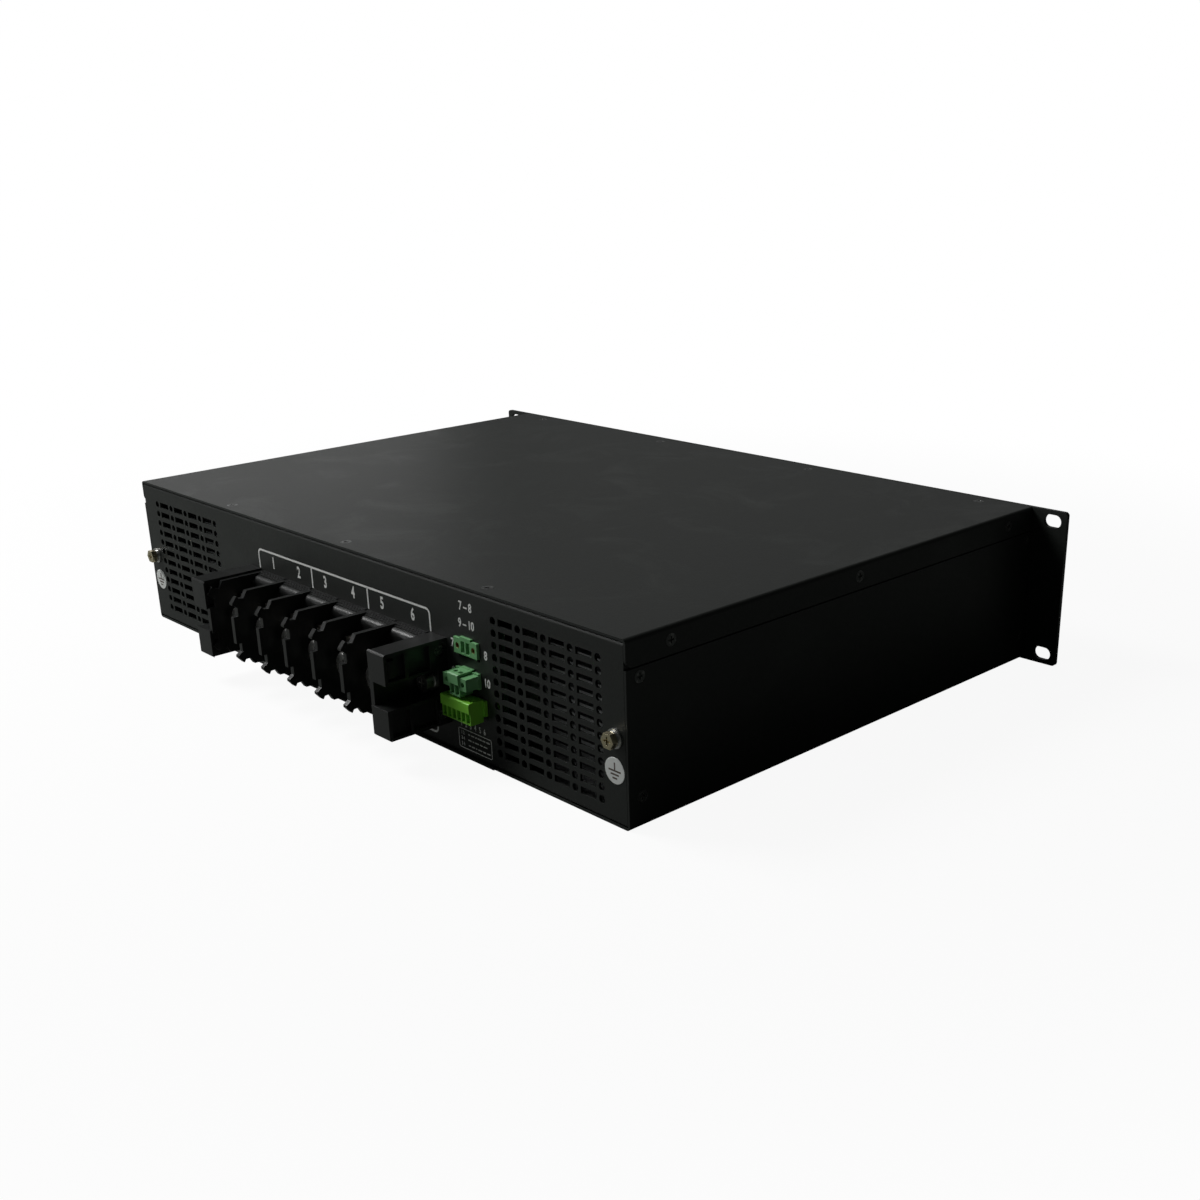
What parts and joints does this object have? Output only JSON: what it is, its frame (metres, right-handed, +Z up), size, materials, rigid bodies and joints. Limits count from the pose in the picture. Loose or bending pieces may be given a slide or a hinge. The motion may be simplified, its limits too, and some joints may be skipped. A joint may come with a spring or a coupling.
{
  "type": "rack static transfer switch",
  "caption": "Two-unit-high rack static transfer switch: folded steel case with ears, vented rear panel, barrier terminal block, signal ports, thyristor modules on finned heat sinks.",
  "frame": {"origin": "middle of the bounding box in X and Y, on the underside of the chassis", "axes": "+X across the rack to the left when facing the rear, +Y from the front panel to the rear, +Z up"},
  "size_m": [0.4826, 0.3446, 0.0881],
  "materials": {
    "case_coating": "fine-textured satin powder coat",
    "black_steel": "black zinc plating",
    "moulded_black": "semi-gloss moulding",
    "bright_steel": "bright zinc plating",
    "pale_brass": "nickel-washed brass",
    "copper": "bare rolled copper",
    "soft_green": "matt moulding",
    "bright_green": "matt moulding",
    "circuit_board": "solder resist over glass fibre",
    "sink_aluminium": "mill-finish extrusion",
    "module_case": "matt moulding",
    "sensor_blue": "matt moulding",
    "display_frame": "matt",
    "window_pane": "polished, smoked",
    "printed_film": "fine matt film",
    "light_lens": "diffused lens"
  },
  "bodies": {
    "root": {"chassis_tray": "case_coating", "top_cover": "case_coating", "rear_panel": "case_coating", "front_frame": "case_coating", "front_panel": "case_coating", "cover_top_screws": "black_steel", "cover_side_screws": "black_steel", "wall_screws": "black_steel", "front_panel_screws": "black_steel", "earth_bolts": "pale_brass", "earth_washers": "bright_steel", "panel_nuts": "bright_steel", "terminal_pole_1": "moulded_black", "terminal_pole_2": "moulded_black", "terminal_pole_3": "moulded_black", "terminal_pole_4": "moulded_black", "terminal_pole_5": "moulded_black", "terminal_pole_6": "moulded_black", "terminal_end_1": "moulded_black", "terminal_end_2": "moulded_black", "terminal_tie_rods": "bright_steel", "terminal_fixing_screws": "bright_steel", "terminal_bars": "copper", "terminal_nuts": "bright_steel", "terminal_washers": "bright_steel", "terminal_bolts": "bright_steel", "serial_socket": "soft_green", "alarm_socket": "soft_green", "contact_socket": "bright_green", "alarm_plug": "soft_green", "contact_plug": "bright_green", "socket_inserts": "pale_brass", "port_pins": "bright_steel", "clamp_screws": "bright_steel", "interface_board": "circuit_board", "heat_sink_1": "sink_aluminium", "heat_sink_2": "sink_aluminium", "thyristor_line_1": "module_case", "thyristor_neutral_1": "module_case", "thyristor_line_2": "module_case", "thyristor_neutral_2": "module_case", "thyristor_screws": "bright_steel", "heat_sink_screws": "black_steel", "source_1_busbars": "copper", "source_2_busbars": "copper", "output_line_busbar": "copper", "output_neutral_busbar": "copper", "busbar_bolts": "bright_steel", "current_sensors": "sensor_blue", "driver_boards": "circuit_board", "driver_standoffs": "bright_steel", "control_board": "circuit_board", "supply_board_1": "circuit_board", "supply_board_2": "circuit_board", "board_standoffs": "bright_steel", "display_board": "circuit_board", "display_module": "display_frame", "display_window": "window_pane", "front_film": "printed_film", "status_leds": "light_lens"}
  },
  "joints": []
}
